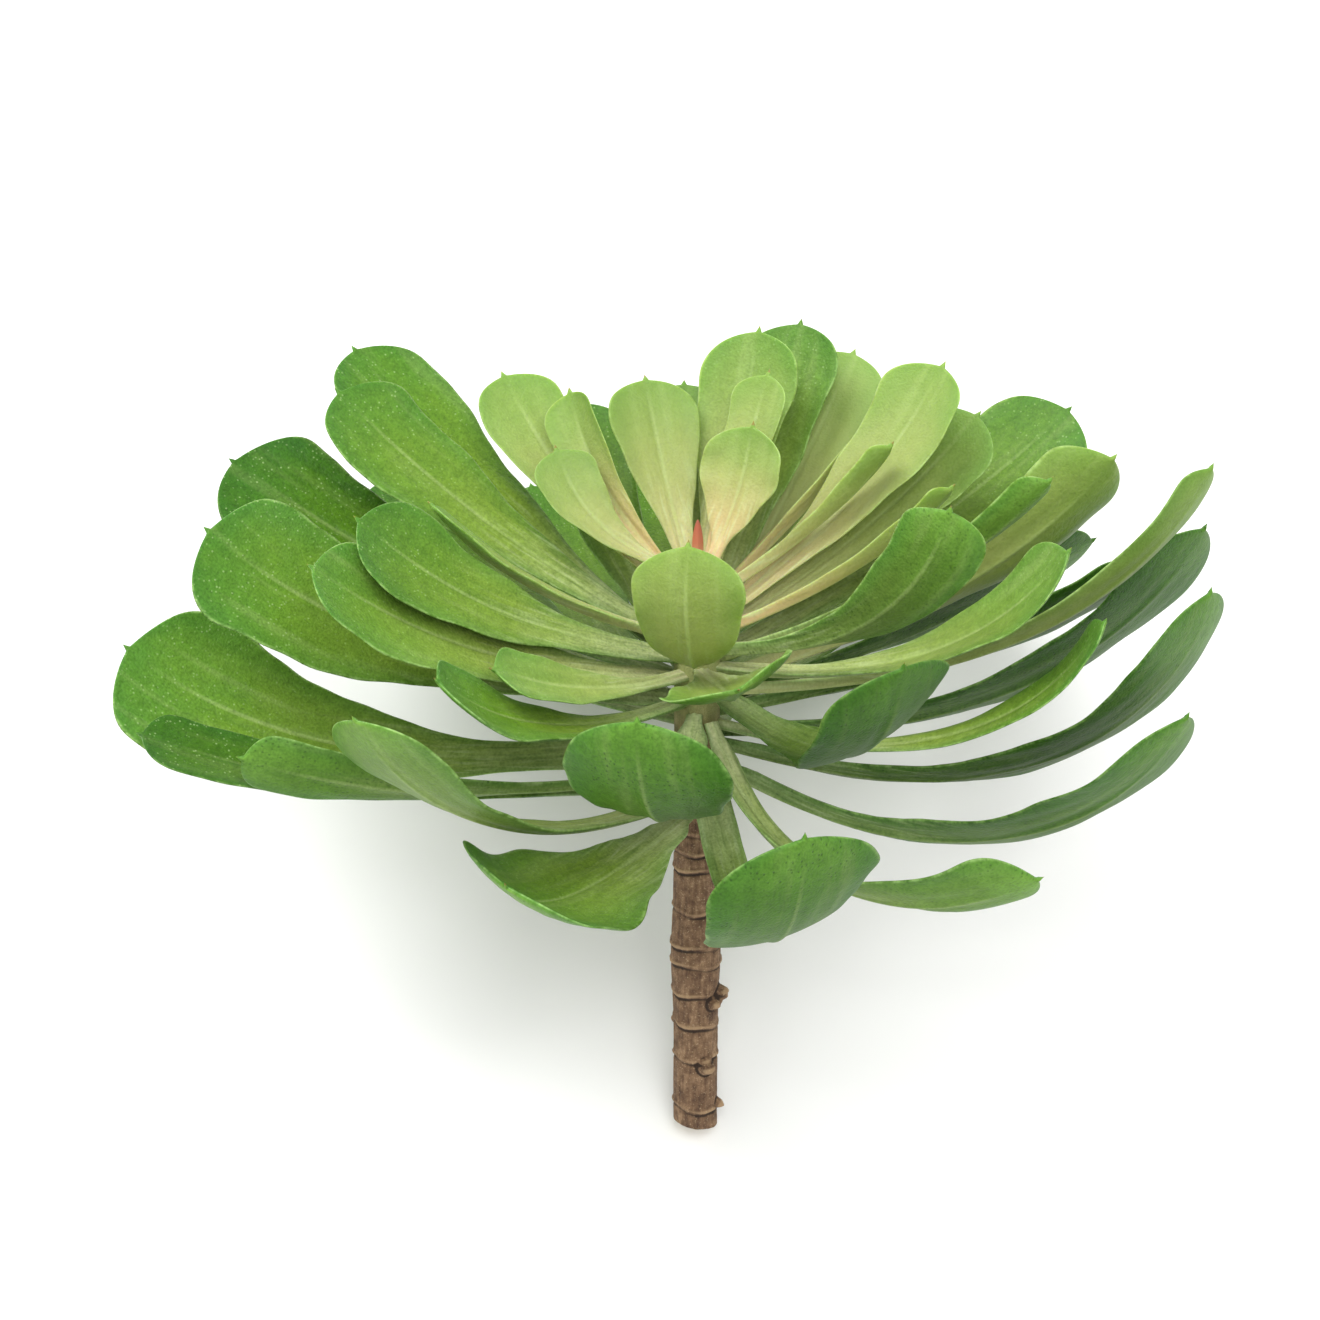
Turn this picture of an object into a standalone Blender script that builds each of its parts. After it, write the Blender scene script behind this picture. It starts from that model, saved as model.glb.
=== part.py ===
"""A succulent rosette, cut off with its bare woody stem and laid down.

The plant is modelled upright, with its cut end at the origin and its stem along +Z.
Then it is laid on the table: it rolls back until it rests on the cut end of its stem
and on the tips of the leaves behind. Lengths are metres and angles are degrees.
"""

import math
from collections import namedtuple

import bmesh
import bpy
import numpy as np
from mathutils import Matrix, Vector

MM = 0.001
CLEARANCE = 0.3 * MM

# Stem
STEM_LENGTH = 113 * MM
STEM_RADIUS = 4.2 * MM
SWELLING = 0.5 * MM
SWELLING_HEIGHT = 36 * MM
SWELLING_SPREAD = 9 * MM
CROWN_RADIUS = 3.4 * MM
CROWN_TAPER = 15 * MM
SCAR_HEIGHTS = [2 * MM, 12 * MM, 19 * MM, 25.5 * MM, 33 * MM, 43.5 * MM, 52 * MM, 57 * MM]
SCAR_RISE = 0.25 * MM
SCAR_HALF_WIDTH = 0.8 * MM
STEM_SIDES = 14
CUT_ANGLE = 8

# What shed leaves leave on the stem: height, direction round the stem, radius
STUBS = [
    (27 * MM, -8, 1.6 * MM),
    (26 * MM, -40, 1.3 * MM),
    (13 * MM, -62, 1.5 * MM),
    (4.5 * MM, -12, 1.0 * MM),
    (20 * MM, 140, 1.2 * MM),
]

# Growing point
BUD_HEIGHT = 7.5 * MM
BUD_RADIUS = 1.2 * MM
BUD_SIDES = 12

# Leaves. Their lengths and widths are in leaf units
LEAF_UNIT = 1.0 * MM
ROOT_THICKNESS = 1.7 * MM
TIP_THICKNESS = 0.9 * MM
EDGE_SHARE = 0.55
ROOT_HALF_WIDTH = 1.5 * MM
# One step down the stem: wider or thicker roots, or a thinner stem, need larger steps
ROOT_STEP = 28 / 17 * ROOT_THICKNESS * ROOT_HALF_WIDTH / STEM_RADIUS
NECK_LENGTH = 7 * MM
STALK_SHARE = 0.22
END_ROUNDNESS = 2.6
END_BLUNTNESS = 0.6
POINT_LENGTH = 1.6 * MM
POINT_HALF_WIDTH = 0.2 * MM
LONG_LEAF = 60 * MM
ROWS_LONG = 10
ROWS_SHORT = 8
ROW_CROWDING = 1.6
COLUMNS = 4
LINE_STEPS = 120

# How far the plant is tipped to the back when it looks for its resting face
LEAN_WANTED = 42

# Each leaf: how many root steps it is below the top of the stem, its direction round
# the stem at root and tip (0 is +X, 90 is +Y), how steeply it rises at root and tip,
# how far it is rolled about its own line at root and tip, its length and width (leaf
# units), how hollow its upper face is, how late it bends, which share of it is stalk,
# and how long its rounded end is for its width.
Leaf = namedtuple(
    "Leaf",
    "drop turn_root turn_tip rise_root rise_tip roll_root roll_tip "
    "length width hollow lateness stalk end",
)
LEAVES = {
    "inner_back_1": (7, 144, 127, 28, 46, 10, 15, 56, 17, 0.15, 1.5, 0.05, 0.52),
    "inner_back_2": (2.5, 172, 122, 24, 54, 20, 20, 33, 12, 0.2, 1.5, 0.05, 0.52),
    "inner_back_3": (4.7, 145, 118, 36, 58, 50, 60, 42, 11, 0.5, 1.5, 0.05, 0.52),
    "inner_back_4": (4, 107, 104, 38, 50, 5, 0, 42, 17, 0.2, 1.5, 0.05, 0.52),
    "inner_back_5": (7, 76, 68, 36, 66, 0, 0, 54, 19, 0.15, 1.5, 0.05, 0.52),
    "inner_back_6": (3.3, 68, 50, 42, 70, 0, 0, 39.5, 12, 0.2, 1.5, 0.05, 0.5),
    "inner_back_7": (1, 50, 48, 53, 80, -5, -5, 25.5, 17.5, 0.2, 1.5, 0.05, 0.5),
    "inner_front_1": (13, 268, 258, -20, 112, 0, 0, 44, 20, 0.15, 1.0, 0.05, 0.52),
    "inner_left_1": (14, 182, 167, 16, 46, -10, -20, 50, 11, 0.2, 1.5, 0.1, 0.52),
    "inner_right_1": (8.3, 47, 38, 26, 36, 60, 50, 57, 11, 0.2, 1.5, 0.05, 0.52),
    "inner_right_2": (6, 22, 2, 26, 56, 40, 40, 41, 8, 0.4, 1.5, 0.05, 0.52),
    "inner_right_3": (11, 26, 23, 30, 62, -25, -25, 62, 18, 0.2, 1.5, 0.05, 0.5),
    "inner_right_4": (13, 8, -2, 20, 50, 35, 35, 49, 8, 0.3, 1.5, 0.05, 0.52),
    "middle_back_1": (23, 118, 108, 28, 44, 10, 10, 66, 18, 0.1, 1.5, 0.1, 0.52),
    "middle_back_2": (11, 96, 88, 28, 44, 10, 0, 54, 15, 0.2, 1.5, 0.05, 0.52),
    "middle_back_3": (14, 68, 66, 34, 60, 0, 0, 66, 19, 0.15, 1.5, 0.05, 0.52),
    "middle_back_4": (18, 62, 54, 32, 50, -10, -20, 69, 17, 0.15, 1.5, 0.1, 0.52),
    "middle_front_1": (20, 280, 273, 10, 27, 0, -22, 50, 24, 0.3, 1.5, 0.1, 0.52),
    "middle_front_2": (21, 229, 209, 5, 28, 30, 25, 44, 13, 0.2, 1.4, 0.15, 0.5),
    "middle_front_3": (24, 312, 288, -16, 74, -8, -18, 70, 29, 0.2, 1.4, 0.15, 0.5),
    "middle_left_1": (22, 206, 194, 11, 42, 35, 30, 74, 22, 0.15, 1.5, 0.1, 0.52),
    "middle_left_2": (18, 198, 186, 15, 47, 30, 30, 65, 22, 0.15, 1.5, 0.1, 0.5),
    "middle_left_3": (16, 160, 157, 24, 42, 20, 20, 78, 22, 0.1, 1.5, 0.1, 0.5),
    "middle_right_1": (15, 28, 22, 24, 48, -20, -30, 64, 19, 0.15, 1.5, 0.05, 0.52),
    "middle_right_2": (16, -30, -38, 10, 76, 40, 70, 61, 16, 0.2, 1.5, 0.1, 0.5),
    "middle_right_3": (18, 4, -6, 16, 50, 35, 45, 68, 10, 0.4, 1.5, 0.1, 0.5),
    "middle_right_4": (20, 34, 25, 17, 38, -20, -30, 86, 23, 0.1, 1.5, 0.15, 0.5),
    "middle_right_5": (23, 14, 8, 12, 50, 60, 70, 84, 20, 0.3, 1.5, 0.15, 0.52),
    "middle_right_6": (20, -16, -17, 0, 60, -5, -25, 72, 17, 0.2, 1.5, 0.15, 0.5),
    "outer_back_1": (29, 134, 130, 4, 34, 0, 0, 90, 26, 0.1, 1.5, 0.15, 0.52),
    "outer_back_2": (33, 112, 108, 0, 30, 6, 4, 96, 27, 0.1, 1.6, 0.2, 0.52),
    "outer_back_3": (27, 92, 90, 4, 36, 0, 0, 90, 26, 0.1, 1.5, 0.15, 0.52),
    "outer_back_4": (35, 74, 72, -2, 34, -4, -6, 98, 28, 0.1, 1.7, 0.2, 0.52),
    "outer_back_5": (31, 54, 50, 4, 34, -6, -8, 90, 26, 0.1, 1.5, 0.15, 0.52),
    "outer_back_6": (31, 158, 166, 6, 28, 6, 10, 88, 24, 0.1, 1.6, 0.2, 0.52),
    "outer_front_1": (26, 232, 214, 4, 46, 0, 20, 62, 20, 0.15, 2.0, 0.2, 0.45),
    "outer_front_2": (29, 263, 256, -18, 88, 0, 0, 73, 29, 0.15, 1.7, 0.15, 0.52),
    "outer_front_3": (31, 302, 350, -52, 29, 0, 46, 77, 22, 0.2, 1.0, 0.3, 0.5),
    "outer_front_4": (37, 283, 283, -44, 84, -5, -14, 89, 32, 0.15, 1.3, 0.3, 0.5),
    "outer_front_5": (49, 240, 226, -5, 58, 0, 8, 54, 38, 0.15, 5.0, 0.1, 0.22),
    "outer_left_1": (36, 184, 181, -4, 44, 35, 46, 104, 30, 0.1, 2.0, 0.25, 0.42),
    "outer_left_2": (43, 199, 186, 4, 25, 15, 20, 99, 15, 0.15, 2.2, 0.2, 0.5),
    "outer_left_3": (39.5, 208, 194, 1, 22, -30, -75, 83, 12, 0.15, 1.5, 0.2, 0.5),
    "outer_left_4": (45, 222, 210, -4, 61, 0, -22, 80, 24, 0.12, 1.3, 0.2, 0.45),
    "outer_left_5": (26, 186, 180, 8, 44, 35, 45, 91, 28, 0.1, 1.6, 0.15, 0.42),
    "outer_left_6": (22, 168, 159, 14, 32, 15, 25, 92, 27, 0.1, 1.5, 0.15, 0.45),
    "outer_left_7": (19, 150, 145, 28, 42, 10, 10, 86, 24, 0.1, 1.5, 0.1, 0.52),
    "outer_right_1": (27.3, 29, 20, 6, 26, 45, 50, 82, 19, 0.1, 1.5, 0.15, 0.52),
    "outer_right_2": (24.6, -3, 2, 4, 66, 36, 40, 102, 13, 0.2, 1.8, 0.15, 0.5),
    "outer_right_3": (29, 16, 13, 4, 28, 45, 45, 84, 21, 0.1, 1.5, 0.15, 0.52),
    "outer_right_4": (33, 12, 6, -5, 62, 42, 45, 103, 26, 0.1, 1.6, 0.15, 0.5),
    "outer_right_5": (31, -18, -20, -8, 66, -20, -20, 81, 10, 0.1, 1.5, 0.15, 0.5),
    "outer_right_6": (35, -6, -6, -14, 80, 42, 30, 105, 27, 0.1, 1.7, 0.15, 0.5),
    "outer_right_7": (39, -14, -18, -26, 66, 50, 22, 97, 27, 0.1, 1.4, 0.15, 0.7),
}

# Materials: colour and roughness
MATERIALS = {
    "inner_leaf_green": ((0.40, 0.55, 0.16), 0.45),
    "middle_leaf_green": ((0.21, 0.42, 0.09), 0.45),
    "outer_leaf_green": ((0.10, 0.28, 0.05), 0.45),
    "bud_red": ((0.70, 0.12, 0.06), 0.5),
    "stem_bark": ((0.19, 0.12, 0.07), 0.85),
}


def smooth(x):
    """The S curve 3x^2 - 2x^3, held at 0 below 0 and at 1 above 1."""
    x = np.clip(x, 0.0, 1.0)
    return x * x * (3.0 - 2.0 * x)


def stem_radius(height):
    """Radius of the smooth stem: a slight swelling low down and a taper to the crown."""
    swelling = SWELLING * math.exp(-(((height - SWELLING_HEIGHT) / SWELLING_SPREAD) ** 2))
    taper = float(smooth((height - STEM_LENGTH + CROWN_TAPER) / CROWN_TAPER))
    return STEM_RADIUS + swelling - (STEM_RADIUS - CROWN_RADIUS) * taper


def material(name):
    """One of the plant's materials, a plain Principled shader."""
    colour, roughness = MATERIALS[name]
    made = bpy.data.materials.new(name)
    made.use_nodes = True
    shader = made.node_tree.nodes["Principled BSDF"]
    shader.inputs["Base Color"].default_value = (*colour, 1.0)
    shader.inputs["Roughness"].default_value = roughness
    shader.inputs["Metallic"].default_value = 0.0
    return made


def add_object(name, mesh, paint, collection, parent=None):
    """Put a mesh in the scene as one named, smooth-shaded object."""
    made = bpy.data.objects.new(name, mesh)
    mesh.materials.append(paint)
    mesh.shade_smooth()
    collection.objects.link(made)
    made.parent = parent
    return made


def turned(name, profile, sides, paint, collection, parent):
    """Turn a profile of (radius, height) points, listed from top to bottom, round Z."""
    mesh = bpy.data.meshes.new(name)
    points = [(radius, 0.0, height) for radius, height in profile]
    edges = [(i, i + 1) for i in range(len(points) - 1)]
    mesh.from_pydata(points, edges, [])
    made = add_object(name, mesh, paint, collection, parent)
    screw = made.modifiers.new("Turn", "SCREW")
    screw.steps = sides
    screw.render_steps = sides
    screw.use_merge_vertices = True
    screw.merge_threshold = 0.00001
    return made


def apply_boolean(target, cutter, operation):
    """Cut or join the target with a helper object that stays out of the build."""
    cutter.hide_render = True
    cutter.display_type = "WIRE"
    boolean = target.modifiers.new(operation.title(), "BOOLEAN")
    boolean.operation = operation
    boolean.solver = "EXACT"
    boolean.object = cutter


def make_stem(paint, collection, helpers, parent):
    """The woody stem: leaf scars as low rings, stubs, and a slanting cut end."""
    heights = {STEM_LENGTH - share * CROWN_TAPER for share in (0.0, 0.25, 0.5, 0.75, 1.0)}
    heights |= {SWELLING_HEIGHT + SWELLING_SPREAD * step for step in (-1.5, -0.5, 0.5, 1.5)}
    for scar in SCAR_HEIGHTS:
        heights |= {scar - SCAR_HALF_WIDTH, scar, scar + SCAR_HALF_WIDTH}
    overcut = 2.0 * STEM_RADIUS * math.tan(math.radians(CUT_ANGLE))
    profile = [(0.0, STEM_LENGTH)]
    for height in sorted(heights, reverse=True):
        rise = SCAR_RISE if height in SCAR_HEIGHTS else 0.0
        profile.append((stem_radius(height) + rise, height))
    profile.append((stem_radius(0.0), -overcut))
    profile.append((0.0, -overcut))
    stem = turned("stem", profile, STEM_SIDES, paint, collection, parent)

    for number, (height, direction, radius) in enumerate(STUBS, 1):
        mesh = bpy.data.meshes.new(f"stub_{number}")
        shape = bmesh.new()
        bmesh.ops.create_icosphere(shape, subdivisions=1, radius=radius)
        shape.to_mesh(mesh)
        shape.free()
        stub = add_object(f"stub_{number}", mesh, paint, helpers, parent)
        angle = math.radians(direction)
        reach = stem_radius(height) + 0.2 * radius
        stub.location = (reach * math.cos(angle), reach * math.sin(angle), height)
        apply_boolean(stem, stub, "UNION")

    mesh = bpy.data.meshes.new("saw_cut")
    shape = bmesh.new()
    bmesh.ops.create_cube(shape, size=6.0 * STEM_RADIUS)
    shape.to_mesh(mesh)
    shape.free()
    saw = add_object("saw_cut", mesh, paint, helpers, parent)
    tilt = Matrix.Rotation(math.radians(CUT_ANGLE), 4, "Y")
    saw.matrix_local = tilt @ Matrix.Translation((0.0, 0.0, -3.0 * STEM_RADIUS))
    apply_boolean(stem, saw, "DIFFERENCE")
    return stem


def make_bud(paint, collection, parent):
    """The growing point: a small closed spindle just clear of the stem's top."""
    foot = STEM_LENGTH + CLEARANCE
    outline = [(0.0, 1.0), (0.35, 0.88), (0.7, 0.6), (1.0, 0.3), (0.8, 0.08), (0.45, 0.0), (0.0, 0.0)]
    profile = [(share * BUD_RADIUS, foot + rise * BUD_HEIGHT) for share, rise in outline]
    return turned("bud", profile, BUD_SIDES, paint, collection, parent)


def half_widths(along, length, width, stalk, end):
    """Half the leaf's width along its line: narrow neck, stalk, blade and round end."""
    widest = 1.0 - end * width / length
    flare = smooth((along - stalk) / (widest + 0.04 - stalk))
    body = STALK_SHARE + (1.0 - STALK_SHARE) * flare
    past = np.clip((along - widest) / (1.0 - widest), 0.0, 1.0)
    full = 0.5 * width * body * np.clip(1.0 - past ** END_ROUNDNESS, 0.0, 1.0) ** END_BLUNTNESS
    neck = smooth(along * length / NECK_LENGTH)
    return full * neck + np.minimum(ROOT_HALF_WIDTH, full) * (1.0 - neck)


def leaf_points(leaf, rows):
    """The leaf's middle surface, rows by columns, and the place of its root."""
    length = leaf.length * LEAF_UNIT
    seat = STEM_LENGTH - leaf.drop * ROOT_STEP
    line = np.linspace(0.0, 1.0, LINE_STEPS + 1)
    turn = np.radians(leaf.turn_root + (leaf.turn_tip - leaf.turn_root) * smooth(line))
    rise = np.radians(leaf.rise_root + (leaf.rise_tip - leaf.rise_root) * line ** leaf.lateness)
    roll = np.radians(leaf.roll_root + (leaf.roll_tip - leaf.roll_root) * smooth(line))
    level = np.zeros_like(line)
    ahead = np.stack([np.cos(rise) * np.cos(turn), np.cos(rise) * np.sin(turn), np.sin(rise)], -1)
    across = np.stack([np.sin(turn), -np.cos(turn), level], -1)
    above = np.cross(across, ahead)
    side = np.cos(roll)[:, None] * across + np.sin(roll)[:, None] * above
    face = np.cos(roll)[:, None] * above - np.sin(roll)[:, None] * across

    tilt_room = 0.5 * ROOT_THICKNESS * abs(math.sin(rise[0]))
    reach = stem_radius(seat) + CLEARANCE + tilt_room
    root = np.array([reach * math.cos(turn[0]), reach * math.sin(turn[0]), seat])
    steps = 0.5 * (ahead[1:] + ahead[:-1]) * length / LINE_STEPS
    middle = np.vstack([np.zeros(3), np.cumsum(steps, axis=0)])

    along = 1.0 - (1.0 - np.linspace(0.0, 1.0, rows + 1)) ** ROW_CROWDING
    here = [np.stack([np.interp(along, line, part[:, k]) for k in range(3)], -1)
            for part in (middle, side, face, ahead)]
    middle, side, face, ahead = here
    half = half_widths(along, length, leaf.width * LEAF_UNIT, leaf.stalk, leaf.end)
    half = np.maximum(half, POINT_HALF_WIDTH)
    middle = np.vstack([middle, middle[-1] + ahead[-1] * POINT_LENGTH])
    side = np.vstack([side, side[-1]])
    face = np.vstack([face, face[-1]])
    half = np.append(half, 0.5 * POINT_HALF_WIDTH)
    column = np.linspace(-1.0, 1.0, COLUMNS + 1)
    sideways = (half[:, None] * column)[..., None] * side[:, None, :]
    hollowed = (leaf.hollow * half[:, None] * column ** 2)[..., None] * face[:, None, :]
    return middle[:, None, :] + sideways + hollowed, root, np.append(along, 1.0)


def make_leaf(name, leaf, paint, collection, parent):
    """A leaf: a grid bent to the leaf's middle surface, then given its thickness."""
    rows = ROWS_LONG if leaf.length * LEAF_UNIT > LONG_LEAF else ROWS_SHORT
    points, root, along = leaf_points(leaf, rows)
    shape = bmesh.new()
    bmesh.ops.create_grid(shape, x_segments=rows + 1, y_segments=COLUMNS, size=1.0)
    shape.verts.ensure_lookup_table()
    thickness = []
    for vertex in shape.verts:
        row = round((vertex.co.x + 1.0) / 2.0 * (rows + 1))
        column = round((vertex.co.y + 1.0) / 2.0 * COLUMNS)
        vertex.co = Vector(points[row, column])
        edge = (2.0 * column / COLUMNS - 1.0) ** 2
        depth = ROOT_THICKNESS + (TIP_THICKNESS - ROOT_THICKNESS) * along[row]
        thickness.append(depth / ROOT_THICKNESS * (1.0 + (EDGE_SHARE - 1.0) * edge))
    mesh = bpy.data.meshes.new(name)
    shape.to_mesh(mesh)
    shape.free()
    made = add_object(name, mesh, paint, collection, parent)
    made.location = root
    group = made.vertex_groups.new(name="thickness")
    for index, weight in enumerate(thickness):
        group.add([index], min(weight, 1.0), "REPLACE")
    solid = made.modifiers.new("Thickness", "SOLIDIFY")
    solid.thickness = ROOT_THICKNESS
    solid.offset = 0.0
    solid.vertex_group = group.name
    solid.thickness_vertex_group = 0.0
    return made


def points_and_centre(objects):
    """The points of all the objects, and the centre of their volume."""
    graph = bpy.context.evaluated_depsgraph_get()
    points = []
    volume = 0.0
    moment = Vector()
    for made in objects:
        ready = made.evaluated_get(graph)
        shape = bmesh.new()
        shape.from_mesh(ready.to_mesh())
        shape.transform(ready.matrix_world)
        bmesh.ops.triangulate(shape, faces=shape.faces[:])
        points += [vertex.co.copy() for vertex in shape.verts]
        for face in shape.faces:
            a, b, c = (vertex.co for vertex in face.verts)
            wedge = a.dot(b.cross(c)) / 6.0
            volume += wedge
            moment += wedge * (a + b + c) / 4.0
        shape.free()
        ready.to_mesh_clear()
    return points, moment / volume


def resting_turn(objects):
    """The least turn that lays the plant on the face of its hull under its centre.

    Of all the hull's faces that the weight falls through, the one is taken whose
    outward direction is nearest to the way the plant is meant to lean.
    """
    points, centre = points_and_centre(objects)
    hull = bmesh.new()
    for point in points:
        hull.verts.new(point)
    bmesh.ops.convex_hull(hull, input=hull.verts)
    lean = math.radians(LEAN_WANTED)
    wanted = Vector((0.0, math.sin(lean), -math.cos(lean)))
    down = None
    for face in hull.faces:
        normal = face.normal.normalized()
        corners = [vertex.co for vertex in face.verts]
        if normal.dot(corners[0] - centre) < 0.0:
            normal = -normal
        foot = centre + normal * normal.dot(corners[0] - centre)
        arms = [corner - foot for corner in corners]
        turns = [arms[i].cross(arms[i - 1]).dot(normal) for i in range(len(arms))]
        inside = all(turn > 0.0 for turn in turns) or all(turn < 0.0 for turn in turns)
        if inside and (down is None or normal.dot(wanted) > down.dot(wanted)):
            down = normal.copy()
    hull.free()
    turn = down.rotation_difference(Vector((0.0, 0.0, -1.0))).to_matrix().to_4x4()
    laid = [turn @ point for point in points]
    low = [min(point[k] for point in laid) for k in range(3)]
    high = [max(point[k] for point in laid) for k in range(3)]
    shift = Vector((-(low[0] + high[0]) / 2.0, -(low[1] + high[1]) / 2.0, -low[2]))
    return Matrix.Translation(shift) @ turn


def main():
    for thing in list(bpy.data.objects):
        bpy.data.objects.remove(thing, do_unlink=True)
    plant_parts = bpy.data.collections.new("cut_succulent")
    helpers = bpy.data.collections.new("cutters")
    bpy.context.scene.collection.children.link(plant_parts)
    bpy.context.scene.collection.children.link(helpers)
    paints = {name: material(name) for name in MATERIALS}
    plant = bpy.data.objects.new("plant", None)
    plant_parts.objects.link(plant)
    objects = [
        make_stem(paints["stem_bark"], plant_parts, helpers, plant),
        make_bud(paints["bud_red"], plant_parts, plant),
    ]
    for name, values in LEAVES.items():
        ring = name.split("_")[0]
        paint = paints[f"{ring}_leaf_green"]
        objects.append(make_leaf(name, Leaf(*values), paint, plant_parts, plant))
    bpy.context.view_layer.update()
    plant.matrix_world = resting_turn(objects)
    bpy.context.view_layer.update()


main()
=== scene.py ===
"""A succulent rosette, cut off with its bare woody stem and laid on a pale table.

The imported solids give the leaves, the bud and the stem their places. Here each of them
gets its finished surface. Lengths are millimetres in the plant's own upright frame, with
the cut end at the origin and the stem along +Z, until a mesh is laid down in metres.
"""

from collections import namedtuple

import bpy
import numpy as np
from mathutils import Matrix, Vector


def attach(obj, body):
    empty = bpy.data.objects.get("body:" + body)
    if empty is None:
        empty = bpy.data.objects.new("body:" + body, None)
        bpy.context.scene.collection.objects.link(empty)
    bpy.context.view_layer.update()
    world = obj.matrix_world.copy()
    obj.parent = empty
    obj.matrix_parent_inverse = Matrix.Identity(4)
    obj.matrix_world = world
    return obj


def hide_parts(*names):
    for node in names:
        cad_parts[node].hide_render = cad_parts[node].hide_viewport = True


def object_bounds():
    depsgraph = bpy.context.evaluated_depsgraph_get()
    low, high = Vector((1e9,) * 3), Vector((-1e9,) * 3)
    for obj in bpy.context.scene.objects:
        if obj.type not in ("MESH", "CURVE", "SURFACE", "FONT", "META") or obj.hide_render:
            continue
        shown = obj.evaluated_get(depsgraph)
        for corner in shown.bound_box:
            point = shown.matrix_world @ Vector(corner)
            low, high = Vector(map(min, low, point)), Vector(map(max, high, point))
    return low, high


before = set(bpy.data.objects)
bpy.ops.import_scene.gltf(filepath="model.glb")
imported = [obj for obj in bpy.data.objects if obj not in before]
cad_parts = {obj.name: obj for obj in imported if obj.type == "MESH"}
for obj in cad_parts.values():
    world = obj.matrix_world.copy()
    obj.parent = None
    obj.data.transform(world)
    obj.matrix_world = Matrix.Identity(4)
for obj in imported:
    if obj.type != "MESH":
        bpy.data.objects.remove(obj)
cad_low, cad_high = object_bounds()

MM = 0.001
FULL_TURN = 2.0 * np.pi

# Stem
STEM_LENGTH = 113.0
STEM_RADIUS = 4.2
SWELLING = 0.5
SWELLING_HEIGHT = 36.0
SWELLING_SPREAD = 9.0
CROWN_RADIUS = 3.4
CROWN_TAPER = 15.0
CUT_ANGLE = 8.0
CLEARANCE = 0.3

# Heights of the rings that shed leaves left
SCARS = [4.0, 14.5, 21.5, 28.0, 34.0, 38.0, 45.5, 53.5, 57.0, 61.0, 65.5]

# Stubs on the stem: height, direction, radius
STUBS = [(27, -8, 1.6), (26, -40, 1.3), (13, -62, 1.5), (4.5, -12, 1.0), (20, 140, 1.2)]

# Bark: its seed of chance, its rings and columns of points, and its furrows, which are
# full where it is bare and have only a share of their depth where the leaves stand
BARK_SEED = 7
BARK_RINGS = 380
BARK_COLUMNS = 108
BARK_TOP = STEM_LENGTH - 0.4
FURROW_DEPTH = 0.32
SHELTERED_SHARE = 0.35
BARE_HEIGHT = 70.0
BARE_FADE = 8.0

# Bark: the rims of its scars and the cracks under them, its stubs, which rise and end at
# shares of their radius, and the groove round a stub's foot
RIM_HEIGHT = 0.34
RIM_WIDTH = 0.42
CRACK_DEPTH = 0.30
CRACK_WIDTH = 0.35
CRACK_DROP = 0.75
STUB_RISE = 1.15
STUB_END = 1.35
FOOT_DEPTH = 0.25
FOOT_WIDTH = 0.20

# Cut: how far up the bark slants with it, how far it is sunk in, and its saw marks
SLANT_REACH = 14.0
CUT_SINK = 0.05
SAW_HEIGHT = 0.12
SAW_MARKS = 9.0

# Bud: its crease as a share of its radius, and where its half sine starts
BUD_RINGS = 36
BUD_COLUMNS = 32
BUD_HEIGHT = 7.5
BUD_RADIUS = 1.05
BUD_FLATNESS = 0.8
BUD_CREASE = 0.14
BUD_START = 0.16

# Leaves: body and outline
ROOT_THICKNESS = 1.7
TIP_THICKNESS = 0.9
EDGE_SHARE = 0.55
ROOT_HALF_WIDTH = 1.5
ROOT_DEPTH = 1.2
NECK_LENGTH = 7.0
STALK_SHARE = 0.22
FLARE_OVERRUN = 0.04
END_ROUNDNESS = 3.2
END_BLUNTNESS = 0.72
POINT_LENGTH = 1.3
POINT_HALF_WIDTH = 1.4
POINT_SHARPNESS = 1.2

# Leaves: rings and columns of points, and how they crowd to the tip and to the edges
LEAF_ROWS = 72
LEAF_COLUMNS = 28
LINE_STEPS = 240
ROW_CROWDING = 1.6
COLUMN_CROWDING = 0.11

# Leaves: midrib groove above and keel below, ridges on the stalk, folds on the blade
GROOVE_DEPTH = 0.30
GROOVE_WIDTH = 0.6
KEEL_HEIGHT = 0.45
KEEL_WIDTH = 0.9
RIDGE_HEIGHT = 0.10
RIDGE_SPACING = 1.25
FOLD_HEIGHT = 0.20
FOLD_SPACING = 5.2
FOLD_LENGTH = 31.0

# Leaves: the margins' waves in and out and their sway up and down, with heights as shares
# of the half width and lengths as shares of the leaf. Leaves under 60 mm wave less. The
# margins' notches are fine waves, 1.4 mm a radian.
WAVE_HEIGHT = 0.035
WAVE_LENGTH = 0.34
FULL_WAVE_FROM = 60.0
NOTCH_HEIGHT = 0.010
NOTCH_LENGTH = 1.4
SWAY_HEIGHT = 0.035
SWAY_LENGTH = 0.28

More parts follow.
